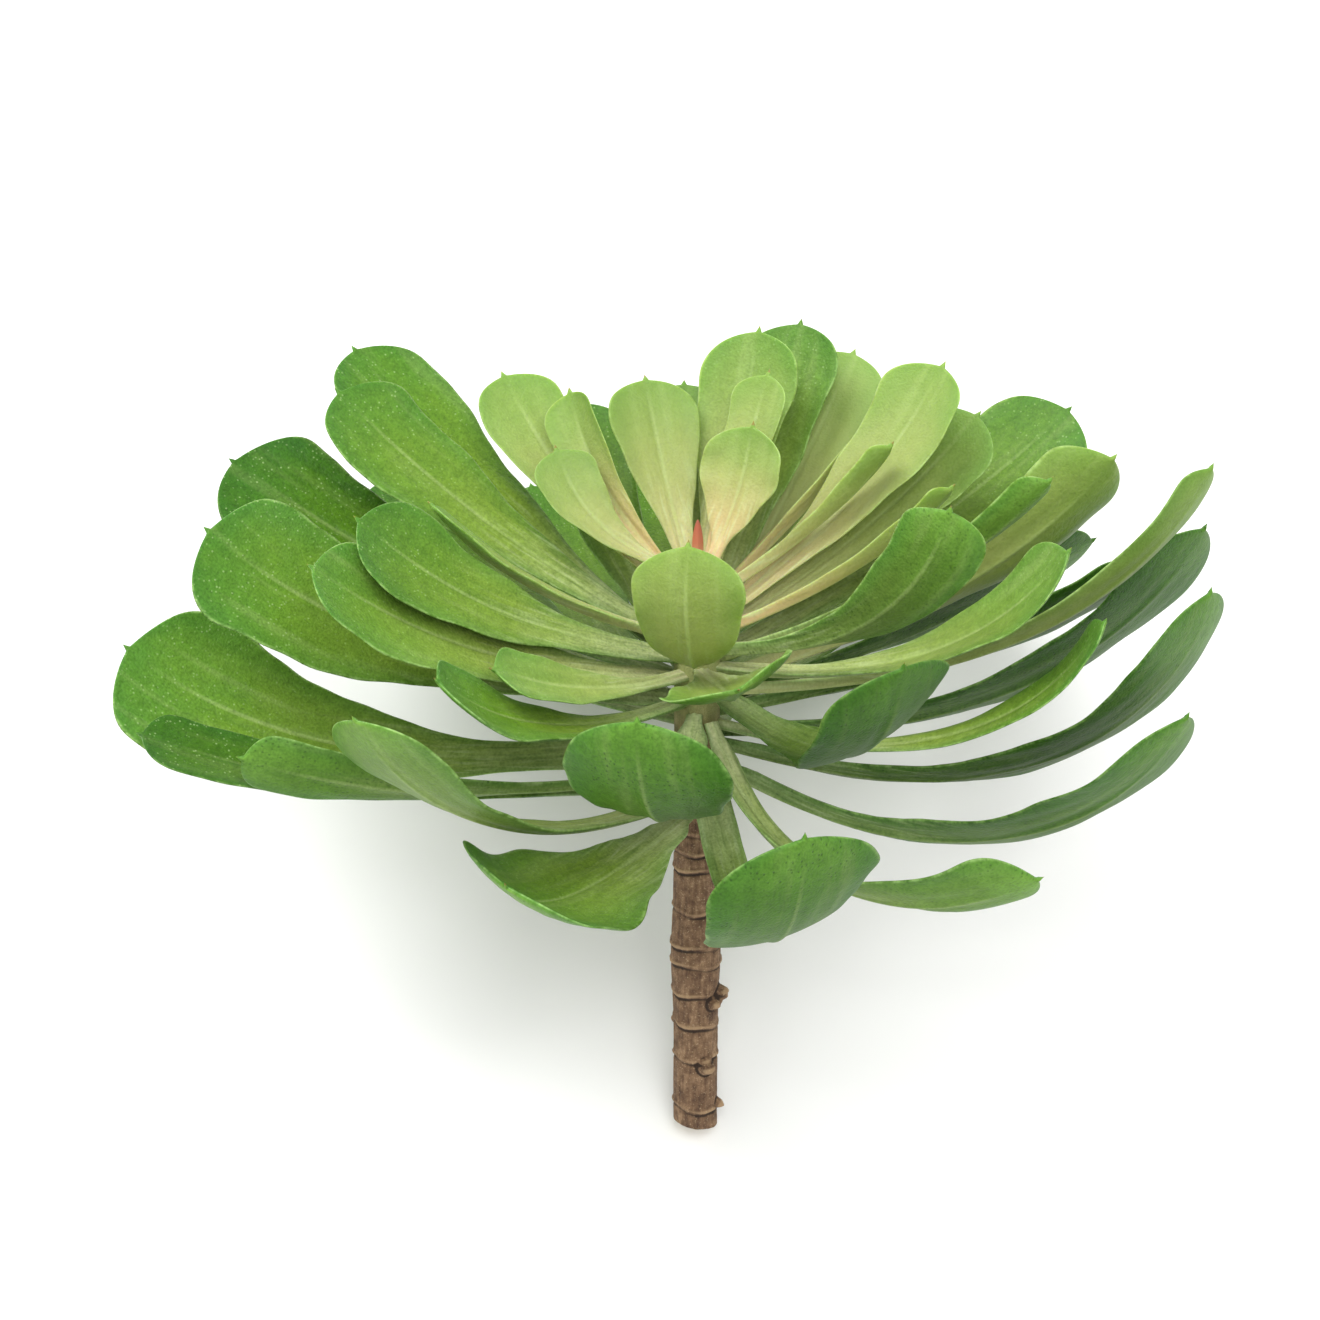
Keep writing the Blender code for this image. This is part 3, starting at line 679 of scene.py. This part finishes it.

# What a leaf's skin is painted by. Place is in millimetres along and across the leaf,
# along and from_middle are shares from root to tip and from the middle to the edge,
# is_upper is 1 on the upper face, then come the leaf's looks, age, blush and painted
# shade, then its noises.
Skin = namedtuple(
    "Skin",
    "place across_mm along from_middle is_upper age blush depth clouds mottle fine bands streaks",
)


def skin_signals(t):
    """The outputs that a leaf's colours and relief are made from."""
    leaf_place = add(t, "Attribute", attribute_name="leaf_place", out=1)
    along = add(t, "SeparateXYZ", [leaf_place])
    across = along.node.outputs[1]
    above = along.node.outputs[2]
    place = add(t, "Attribute", attribute_name="skin_place", out=1)
    looks = add(t, "Attribute", attribute_name="leaf_looks", out=1)
    age = add(t, "SeparateXYZ", [looks])
    for_bands = add(t, "Mapping", {"Vector": place, "Scale": BANDS_PER_MM})
    for_streaks = add(t, "Mapping", {"Vector": place, "Scale": STREAKS_PER_MM})
    return Skin(
        place=place,
        across_mm=add(t, "SeparateXYZ", [place], out=1),
        along=along,
        from_middle=add(t, "Math", [across], operation="ABSOLUTE"),
        is_upper=add(t, "MapRange", [above, -0.6, 0.6], **STEP),
        age=age,
        blush=age.node.outputs[1],
        depth=age.node.outputs[2],
        clouds=add(t, "TexNoise", {"Vector": place, "Scale": CLOUDS_PER_MM, "Detail": 3.0}),
        mottle=add(t, "TexNoise", {"Vector": place, "Scale": MOTTLES_PER_MM, "Detail": 3.0}),
        fine=add(t, "TexNoise", {"Vector": place, "Scale": GRAINS_PER_MM, "Detail": 2.0}),
        bands=add(t, "TexNoise", {"Vector": for_bands, "Scale": 1.0, "Detail": 2.0}),
        streaks=add(t, "TexNoise", {"Vector": for_streaks, "Scale": 1.0, "Detail": 4.0}),
    )


def growth_colours(t, skin):
    """Greens along the leaf, young and old, above and underneath, and the peach flush."""
    shift = add(t, "MapRange", [skin.clouds, 0.0, 1.0, -0.14, 0.14])
    placed = add(t, "Math", [skin.along, shift], **ADD)
    young = add(t, "ValToRGB", [placed], ramp=[
        (0.0, "#CABD92"), (0.30, "#B0B278"), (0.65, "#9DA864"), (1.0, "#83A050")])
    old = add(t, "ValToRGB", [placed], ramp=[
        (0.0, "#BFC896"), (0.26, "#9BAF64"), (0.48, "#7A9A2B"), (0.78, "#618E1D"), (1.0, "#4C8426")])
    young_under = add(t, "ValToRGB", [placed], ramp=[
        (0.0, "#D2C397"), (0.5, "#B5B870"), (1.0, "#849B4A")])
    old_under = add(t, "ValToRGB", [placed], ramp=[
        (0.0, "#9DB573"), (0.28, "#6E9142"), (0.60, "#4F7A20"), (0.85, "#518420"), (1.0, "#70A33C")])
    upper = add(t, "Mix", {0: skin.age, 6: young, 7: old}, **BLEND)
    under = add(t, "Mix", {0: skin.age, 6: young_under, 7: old_under}, **BLEND)
    colour = add(t, "Mix", {0: skin.is_upper, 6: under, 7: upper}, **BLEND)

    # The flush fades out towards the tip
    near_root = add(t, "MapRange", [skin.along, 0.80, 0.05], **STEP)
    flush = add(t, "Math", [skin.blush, near_root], **MULTIPLY)
    return add(t, "Mix", {0: flush, 6: colour, 7: linear("#D3A27A")}, **BLEND)


def bands_and_streaks(t, skin, colour):
    """Pale and dark bands as painted light and shade of soft ridges and grooves, a cooler rim round
    the blade, and pale and dark streaks as painted light and shade on the stalk's ribs.
    """
    # Painted light and shade: pale bands for soft ridges, dark bands for grooves
    pale = add(t, "MapRange", [skin.bands, 0.52, 0.72, 0.0, 0.16], **STEP)
    colour = add(t, "Mix", {0: pale, 6: colour, 7: linear("#B4C480")}, **BLEND)
    dark = add(t, "MapRange", [skin.bands, 0.47, 0.28, 0.0, 0.26], **STEP)
    dark = add(t, "Math", [dark, skin.age], **MULTIPLY)
    colour = add(t, "Mix", {0: dark, 6: colour, 7: linear("#3E6B24")}, **BLEND)

    to_rim = add(t, "MapRange", [skin.from_middle, 0.45, 1.0], **STEP)
    strength = add(t, "MapRange", [skin.age, 0.0, 1.0, 0.12, 0.42])
    to_rim = add(t, "Math", [to_rim, strength], **MULTIPLY)
    colour = add(t, "Mix", {0: to_rim, 6: colour, 7: linear("#3F7C31")}, **BLEND)

    # Painted light and shade: pale streaks on the stalk's raised ribs, dark ones between them,
    # following the relief
    stalk = add(t, "MapRange", [skin.along, 0.68, 0.20], **STEP)
    pale = add(t, "MapRange", [skin.streaks, 0.50, 0.70, 0.0, 0.50], **STEP)
    pale = add(t, "Math", [pale, stalk], **MULTIPLY)
    colour = add(t, "Mix", {0: pale, 6: colour, 7: linear("#C3CF9C")}, **BLEND)
    dark = add(t, "MapRange", [skin.streaks, 0.48, 0.30, 0.0, 0.45], **STEP)
    dark = add(t, "Math", [dark, add(t, "Math", [stalk, skin.age], **MULTIPLY)], **MULTIPLY)
    return add(t, "Mix", {0: dark, 6: colour, 7: linear("#41662B")}, **BLEND)


def rib_and_rim(t, skin, colour):
    """The midrib's light line, about 0.7 mm wide, and the margin's thin light rim."""
    rib = add(t, "Math", [skin.across_mm], operation="ABSOLUTE")
    rib = add(t, "MapRange", [rib, 0.60, 0.10, 0.0, 0.30], **STEP)
    to_tip = add(t, "MapRange", [skin.along, 1.0, 0.75], **STEP)
    rib = add(t, "Math", [rib, to_tip], **MULTIPLY)
    colour = add(t, "Mix", {0: rib, 6: colour, 7: linear("#BFD08C")}, **BLEND)
    rim = add(t, "MapRange", [skin.from_middle, 0.94, 0.99, 0.0, 0.50], **STEP)
    broken = add(t, "MapRange", [skin.mottle, 0.35, 0.60])
    rim = add(t, "Math", [rim, broken], **MULTIPLY)
    return add(t, "Mix", {0: rim, 6: colour, 7: linear("#A9CB7E")}, **BLEND)


def mottling(t, skin, colour):
    """Light and dark of the same green, more on old leaves, and the leaf's painted shade."""
    marked = add(t, "MapRange", [skin.age, 0.0, 1.0, 0.12, 0.70])
    grey = add(t, "ValToRGB", [skin.mottle], ramp=[(0.30, "#D2D8CC"), (0.70, "#FFFFFF")])
    colour = add(t, "Mix", {0: marked, 6: colour, 7: grey}, **TINT)
    grey = add(t, "ValToRGB", [skin.fine], ramp=[(0.32, "#CFD4CA"), (0.62, "#FFFFFF")])
    colour = add(t, "Mix", {0: marked, 6: colour, 7: grey}, **TINT)
    # Painted shade: the whole leaf tinted a darker green, as much as its looks list
    return add(t, "Mix", {0: skin.depth, 6: colour, 7: linear("#66873F")}, **TINT)


def dark_pores(t, skin):
    """How dark the pores are: in patches, darker underneath, and only on older leaves."""
    rows = add(t, "Mapping", {"Vector": skin.place, "Scale": PORES_PER_MM})
    pores = add(t, "TexVoronoi", {"Vector": rows, "Scale": 1.0, "Randomness": 0.6})
    pores = add(t, "MapRange", [pores, 0.27, 0.10], **STEP)
    patches = add(t, "MapRange", [skin.clouds, 0.38, 0.56], **STEP)
    deep = add(t, "MapRange", [skin.is_upper, 0.0, 1.0, 0.60, 0.30])
    deep = add(t, "Math", [deep, add(t, "MapRange", [skin.age, 0.5, 1.0])], **MULTIPLY)
    pores = add(t, "Math", [pores, patches], **MULTIPLY)
    return add(t, "Math", [pores, deep], **MULTIPLY)


def light_bumps(t, skin):
    """How light the bumps are: only above, stronger to the tip and with age."""
    bumps = add(t, "TexVoronoi", {"Vector": skin.place, "Scale": BUMPS_PER_MM, "Randomness": 0.9})
    bumps = add(t, "MapRange", [bumps, 0.27, 0.08, 0.0, 0.34], **STEP)
    near_end = add(t, "MapRange", [skin.along, 0.40, 0.92], **STEP)
    near_end = add(t, "Math", [near_end, add(t, "MapRange", [skin.mottle, 0.40, 0.55])], **MULTIPLY)
    bumps = add(t, "Math", [bumps, near_end], **MULTIPLY)
    return add(t, "Math", [bumps, add(t, "Math", [skin.is_upper, skin.age], **MULTIPLY)], **MULTIPLY)


def skin_relief(t, skin, grain, pores, bumps):
    """Fine relief: grain and mottling, streaks on the stalk, raised bumps, sunk pores."""
    height = add(t, "Math", [skin.fine, 0.7], **MULTIPLY)
    height = add(t, "Math", [skin.mottle, 1.6, height], **MULTIPLY_ADD)
    ribbed = add(t, "MapRange", [skin.along, 0.75, 0.15, 0.0, grain], **STEP)
    height = add(t, "Math", [skin.streaks, ribbed, height], **MULTIPLY_ADD)
    height = add(t, "Math", [bumps, 1.2, height], **MULTIPLY_ADD)
    height = add(t, "Math", [pores, -1.0, height], **MULTIPLY_ADD)
    return add(t, "Bump", {"Height": height, "Strength": 0.6, "Distance": 0.2 * MM})


# How rough a leaf's skin is on average
SKIN_ROUGHNESS = 0.46


def leaf_skin(name, grain, glow):
    """Living succulent leaf: a grown, fleshy skin with a thin wax bloom.

    The eye sees a satin green that is pale and ribbed along the stalk and deeper to
    the tip, mottled all over, with a light midrib, dark pores in rows and small light
    bumps near the tip. Grain is how rough the stalk is, and glow how much light goes
    through the flesh, 2 to 3 mm deep.
    """
    made, t, shader = new_material(
        name,
        Roughness=SKIN_ROUGHNESS,
        IOR=1.42,
        Specular_IOR_Level=0.2,
        Subsurface_Weight=glow,
        Subsurface_Radius=(2.0 * MM, 2.6 * MM, 0.6 * MM),
        Subsurface_Scale=1.0,
    )
    skin = skin_signals(t)
    pores = dark_pores(t, skin)
    bumps = light_bumps(t, skin)
    colour = growth_colours(t, skin)
    colour = bands_and_streaks(t, skin, colour)
    colour = rib_and_rim(t, skin, colour)
    colour = mottling(t, skin, colour)
    colour = add(t, "Mix", {0: pores, 6: colour, 7: linear("#243D17")}, **BLEND)
    colour = add(t, "Mix", {0: bumps, 6: colour, 7: linear("#C0DA98")}, **BLEND)

    # The dry brown point at the very tip
    dry = add(t, "MapRange", [skin.along, 1.010, 1.020, 0.0, 0.75], **STEP)
    colour = add(t, "Mix", {0: dry, 6: colour, 7: linear("#7F5E3C")}, **BLEND)
    t.links.new(colour, shader.inputs["Base Color"])

    # The bloom is uneven, so the gloss is too
    rough = add(t, "MapRange", [skin.fine, 0.0, 1.0, SKIN_ROUGHNESS - 0.08, SKIN_ROUGHNESS + 0.10])
    t.links.new(rough, shader.inputs["Roughness"])
    relief = skin_relief(t, skin, grain, pores, bumps)
    t.links.new(relief, shader.inputs["Normal"])
    return made


def sawn_wood(t, x, y):
    """The cut end from its middle out: pith, pale wood, green inner bark, brown bark."""
    flat = add(t, "CombineXYZ", [x, y])
    from_pith = add(t, "VectorMath", [flat], operation="LENGTH", out=1)
    from_pith = add(t, "Math", [from_pith, STEM_RADIUS], operation="DIVIDE")
    return add(t, "ValToRGB", [from_pith], ramp=[
        (0.0, "#D9CBA0"), (0.28, "#CDBB8C"), (0.34, "#B39A6A"), (0.80, "#C3AB7B"), (0.90, "#7C8A4C"),
        (0.95, "#5F4A33")])


def bark_colours(t, mark, shade, grit):
    """Browns, with pale and dark grit, pale scar rims, dark cracks and a green top."""
    height_mm = add(t, "SeparateXYZ", [mark])
    scar = height_mm.node.outputs[2]
    colour = add(t, "ValToRGB", [shade], ramp=[
        (0.34, "#4B3627"), (0.45, "#684E38"), (0.55, "#80644A"), (0.68, "#9E8162")])
    pale = add(t, "MapRange", [grit, 0.58, 0.72, 0.0, 0.55], **STEP)
    colour = add(t, "Mix", {0: pale, 6: colour, 7: linear("#C4AD8A")}, **BLEND)
    dark = add(t, "MapRange", [grit, 0.42, 0.30, 0.0, 0.45], **STEP)
    colour = add(t, "Mix", {0: dark, 6: colour, 7: linear("#33261A")}, **BLEND)
    rims = add(t, "MapRange", [scar, 0.20, 0.9, 0.0, 0.55], **STEP)
    colour = add(t, "Mix", {0: rims, 6: colour, 7: linear("#BC9E78")}, **BLEND)
    cracks = add(t, "MapRange", [scar, -0.12, -0.65, 0.0, 0.9], **STEP)
    colour = add(t, "Mix", {0: cracks, 6: colour, 7: linear("#271B12")}, **BLEND)

    # The young top, still green where the leaves stand
    fresh = add(t, "MapRange", [height_mm, 74.0, 92.0, 0.0, 0.85], **STEP)
    return add(t, "Mix", {0: fresh, 6: colour, 7: linear("#A3AB6C")}, **BLEND)


# Patterns in the bark, as repeats to a millimetre: flakes 2 mm wide, grit of 0.3 mm, and
# fibres 0.7 mm wide, drawn out along the stem
FLAKES_PER_MM = 0.55
GRIT_PER_MM = 3.2
FIBRES_PER_MM = (0.22, 1.5, 0.0)


def bark_material():
    """Woody succulent stem: dry, corky bark that grew in furrows.

    Matt brown flakes, grit and fibres, with pale corky rims round old leaf scars and
    dark cracks under them. The sawn end is pale wood round a lighter pith.
    """
    made, t, shader = new_material("dry_corky_bark", Roughness=0.85, IOR=1.45)
    mark = add(t, "Attribute", attribute_name="bark_place", out=1)
    solid = add(t, "TexCoord", out=3)
    in_mm = add(t, "Mapping", {"Vector": solid, "Scale": (1.0 / MM, 1.0 / MM, 1.0 / MM)})
    flakes = add(t, "TexNoise", {"Vector": in_mm, "Scale": FLAKES_PER_MM, "Detail": 6.0})
    grit = add(t, "TexNoise", {"Vector": in_mm, "Scale": GRIT_PER_MM, "Detail": 4.0})
    drawn = add(t, "Mapping", {"Vector": mark, "Scale": FIBRES_PER_MM})
    fibres = add(t, "TexNoise", {"Vector": drawn, "Scale": 1.0, "Detail": 5.0})
    shade = add(t, "Math", [flakes, 0.55], **MULTIPLY)
    shade = add(t, "Math", [fibres, 0.45, shade], **MULTIPLY_ADD)
    colour = bark_colours(t, mark, shade, grit)

    cut = add(t, "Attribute", attribute_name="cut_place", out=1)
    cut_x = add(t, "SeparateXYZ", [cut])
    wood = sawn_wood(t, cut_x, cut_x.node.outputs[1])
    is_cut = add(t, "MapRange", [cut_x.node.outputs[2], 0.4, 0.6], **STEP)
    colour = add(t, "Mix", {0: is_cut, 6: colour, 7: wood}, **BLEND)
    t.links.new(colour, shader.inputs["Base Color"])

    height = add(t, "Math", [grit, 0.6], **MULTIPLY)
    height = add(t, "Math", [fibres, 0.9, height], **MULTIPLY_ADD)
    relief = add(t, "Bump", {"Height": height, "Strength": 0.9, "Distance": 0.4 * MM})
    t.links.new(relief, shader.inputs["Normal"])
    return made


def bud_material():
    """Young leaf tips, still folded: tender and orange-red, with a satin skin.

    Fine lines, 0.2 mm apart, run up it.
    """
    made, t, shader = new_material(
        "tender_red_bud",
        Roughness=0.42,
        IOR=1.42,
        Subsurface_Weight=0.08,
        Subsurface_Radius=(2.0 * MM, 1.0 * MM, 0.5 * MM),
        Subsurface_Scale=1.0,
    )
    place = add(t, "Attribute", attribute_name="bud_place", out=1)
    up = add(t, "SeparateXYZ", [place])
    colour = add(t, "ValToRGB", [up], ramp=[
        (0.0, "#C99670"), (0.45, "#BC6F52"), (0.85, "#AD5C45"), (1.0, "#96543E")])
    t.links.new(colour, shader.inputs["Base Color"])
    drawn = add(t, "Mapping", {"Vector": place, "Scale": (2.0, 3.0, 1.0)})
    lines = add(t, "TexNoise", {"Vector": drawn, "Scale": 2.0, "Detail": 3.0})
    relief = add(t, "Bump", {"Height": lines, "Strength": 0.4, "Distance": 0.2 * MM})
    t.links.new(relief, shader.inputs["Normal"])
    return made


def table_paint():
    """Painted table top: smooth matt white, hardly visibly clouded, 0.3 m at a time."""
    made, t, shader = new_material("matt_white_table_paint", Roughness=0.9)
    cloud = add(t, "TexNoise", {"Vector": add(t, "TexCoord", out=3), "Scale": 3.0})
    colour = add(t, "ValToRGB", [cloud], ramp=[(0.0, "#F4F4F2"), (1.0, "#F8F8F7")])
    t.links.new(colour, shader.inputs["Base Color"])
    return made


def show(name, mesh, node, paint, laid):
    """Lay a finished mesh down in its node's place, in its material."""
    mesh.transform(laid @ Matrix.Scale(MM, 4))
    mesh.materials.append(paint)
    piece = bpy.data.objects.new(name, mesh)
    bpy.context.scene.collection.objects.link(piece)
    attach(piece, "root")
    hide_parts(node)


def ring_of(name):
    """The ring that a leaf stands in: inner, middle or outer."""
    return name.split("_")[0]


def make_plant():
    """Every piece of the plant. Returned is the transform that lays it down.

    A leaf's place in the list seeds its chance.
    """
    meshes = {}
    for number, (name, values) in enumerate(LEAVES.items()):
        points, leaf_place, skin_place = leaf_surface(Leaf(*values), np.random.default_rng(number))
        looks = np.broadcast_to(LEAF_LOOKS.get(name, RING_LOOKS[ring_of(name)]), points.shape)
        places = {"leaf_place": leaf_place, "skin_place": skin_place, "leaf_looks": looks}
        meshes[name] = closed_mesh(name + "_skin", points, places)
    laid = lying_down(meshes)
    skins = {
        "inner": leaf_skin("waxy_young_leaf_skin", grain=0.5, glow=0.40),
        "middle": leaf_skin("waxy_leaf_skin", grain=1.0, glow=0.18),
        "outer": leaf_skin("waxy_old_leaf_skin", grain=2.4, glow=0.06),
    }
    for name, mesh in meshes.items():
        ring = ring_of(name)
        show(name + "_skin", mesh, name, skins[ring], laid)

    points, mark, cut = stem_surface()
    mesh = closed_mesh("stem_bark", points, {"bark_place": mark, "cut_place": cut})
    show("stem_bark", mesh, "stem", bark_material(), laid)
    points, place = bud_surface()
    mesh = closed_mesh("bud_tips", points, {"bud_place": place})
    show("bud_tips", mesh, "bud", bud_material(), laid)
    return laid


# How far the table reaches each way, in metres, well past the view
TABLE_REACH = 4.0


def make_floor():
    """A plain pale table top: one flat square."""
    mesh = bpy.data.meshes.new("table_top")
    near, far = -TABLE_REACH, TABLE_REACH
    corners = [(near, near, 0.0), (far, near, 0.0), (far, far, 0.0), (near, far, 0.0)]
    mesh.from_pydata(corners, [], [(0, 1, 2, 3)])
    mesh.materials.append(table_paint())
    floor = bpy.data.objects.new("table_top", mesh)
    bpy.context.scene.collection.objects.link(floor)


# The camera looks along the upright plant's +Y from a little above its crown, so it
# looks steeply down on the plant where it lies.
VIEW_TARGET = Vector((-6.8, 0.0, 93.9))
VIEW_DISTANCE = 602.7
VIEW_ELEVATION = 20.0
LENS = 90.0


def make_camera(laid):
    """The camera, placed against the upright plant and laid down with it."""
    rise = np.radians(VIEW_ELEVATION)
    back = Vector((0.0, -np.cos(rise), np.sin(rise)))
    data = bpy.data.cameras.new("camera")
    data.lens = LENS
    data.sensor_width = 36.0
    data.clip_end = 20.0
    camera = bpy.data.objects.new("camera", data)
    place = Matrix.Translation((VIEW_TARGET + back * VIEW_DISTANCE) * MM)
    camera.matrix_world = laid @ place @ back.to_track_quat("Z", "Y").to_matrix().to_4x4()
    bpy.context.scene.collection.objects.link(camera)
    bpy.context.scene.camera = camera
    return camera


# Lamps: name, direction in the camera's right, up and back, distance, diameter, watts
LAMPS = [
    ("key", (-0.40, 0.80, 0.55), 1.1, 0.7, 9.5),
    ("fill", (0.15, 0.30, 0.95), 1.3, 0.8, 8.5),
]
ROOM_BRIGHTNESS = 0.85


def make_lights(camera):
    """Soft studio light: a wide key above and left of the view, a fill, and a pale room."""
    room = bpy.data.worlds.new("pale_room")
    room.use_nodes = True
    walls = room.node_tree.nodes["Background"]
    walls.inputs["Color"].default_value = (1.0, 1.0, 1.0, 1.0)
    walls.inputs["Strength"].default_value = ROOM_BRIGHTNESS
    bpy.context.scene.world = room
    axes = camera.matrix_world.to_3x3()
    centre = (cad_low + cad_high) / 2.0
    for name, direction, distance, diameter, watts in LAMPS:
        data = bpy.data.lights.new(name, "AREA")
        data.shape = "DISK"
        data.size = diameter
        data.energy = watts
        lamp = bpy.data.objects.new(name, data)
        toward = (axes @ Vector(direction)).normalized()
        lamp.location = centre + toward * distance
        lamp.rotation_mode = "QUATERNION"
        lamp.rotation_quaternion = toward.to_track_quat("Z", "Y")
        bpy.context.scene.collection.objects.link(lamp)


laid = make_plant()
make_floor()
camera = make_camera(laid)
make_lights(camera)
bpy.context.scene.view_settings.view_transform = "Standard"

bpy.context.view_layer.update()
